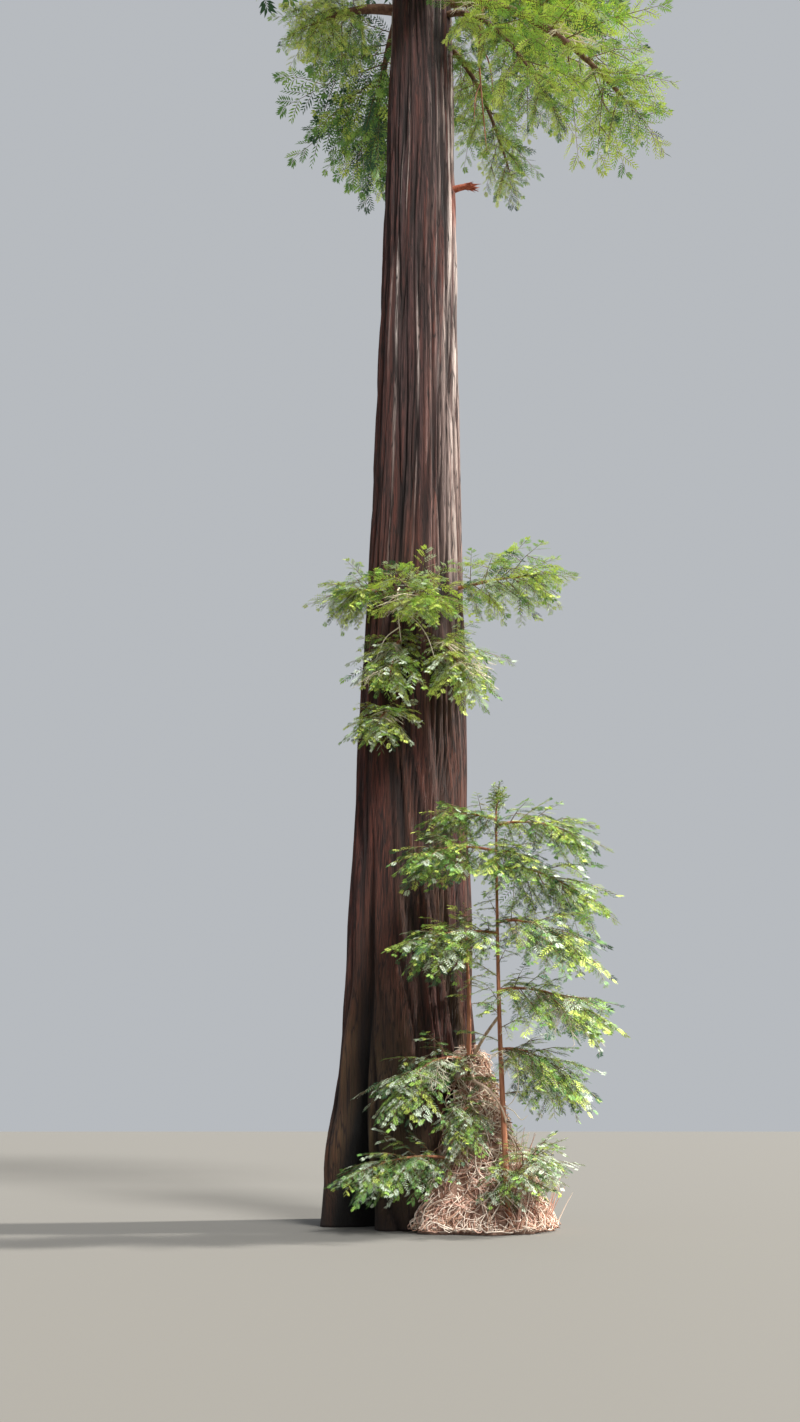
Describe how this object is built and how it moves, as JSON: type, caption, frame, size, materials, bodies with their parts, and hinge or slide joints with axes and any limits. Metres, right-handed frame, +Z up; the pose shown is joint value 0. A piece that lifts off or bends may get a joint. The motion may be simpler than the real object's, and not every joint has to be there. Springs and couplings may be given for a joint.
{
  "type": "redwood tree",
  "caption": "Tall conifer with a flared, cleft trunk, a burl and a young leader at its foot, tufts of foliage half way up and a narrow crown that starts high.",
  "frame": {"origin": "centre of the trunk's flat cut at ground level", "axes": "+Z up the trunk, +X to the right of someone who faces the side with the burl and the cleft, +Y away from them"},
  "size_m": [8.6994, 8.3626, 39.9787],
  "materials": {
    "bark": "deeply furrowed, fibrous bark",
    "young_bark": "thin reddish bark",
    "burl_bark": "rough, twiggy bark",
    "needles": "flat sprays of soft needles"
  },
  "bodies": {
    "root": {"broken_limb": "young_bark", "burl": "burl_bark", "burl_front": "needles", "burl_lower_left": "needles", "burl_lower_right": "needles", "burl_upper_left": "needles", "crown_bough_01": "bark", "crown_bough_02": "bark", "crown_bough_03": "bark", "crown_foliage_01": "needles", "crown_foliage_02": "needles", "crown_foliage_03": "needles", "crown_foliage_04": "needles", "crown_foliage_05": "needles", "crown_foliage_06": "needles", "crown_foliage_07": "needles", "crown_foliage_08": "needles", "crown_foliage_09": "needles", "crown_foliage_10": "needles", "crown_foliage_11": "needles", "crown_foliage_12": "needles", "crown_foliage_13": "needles", "crown_foliage_14": "needles", "crown_foliage_15": "needles", "crown_foliage_16": "needles", "crown_foliage_17": "needles", "crown_foliage_18": "needles", "crown_foliage_19": "needles", "crown_foliage_20": "needles", "crown_foliage_21": "needles", "crown_foliage_22": "needles", "crown_tip": "needles", "curved_limb": "young_bark", "leader_low_back": "needles", "leader_low_right": "needles", "leader_middle_left": "needles", "leader_middle_right": "needles", "leader_stem": "young_bark", "leader_tip": "needles", "leader_top_left": "needles", "leader_top_right": "needles", "leader_upper_front": "needles", "leader_upper_left": "needles", "leader_upper_right": "needles", "low_front_foliage": "needles", "low_hanging_foliage": "needles", "low_inner_foliage": "needles", "low_left_bough": "bark", "low_left_foliage": "needles", "low_right_bough": "bark", "low_right_foliage": "needles", "second_stem": "young_bark", "slanting_limb": "young_bark", "trunk": "bark", "tuft_front_lower": "needles", "tuft_front_upper": "needles", "tuft_left": "needles", "tuft_left_lower": "needles", "tuft_right": "needles", "tuft_right_lower": "needles"}
  },
  "joints": []
}
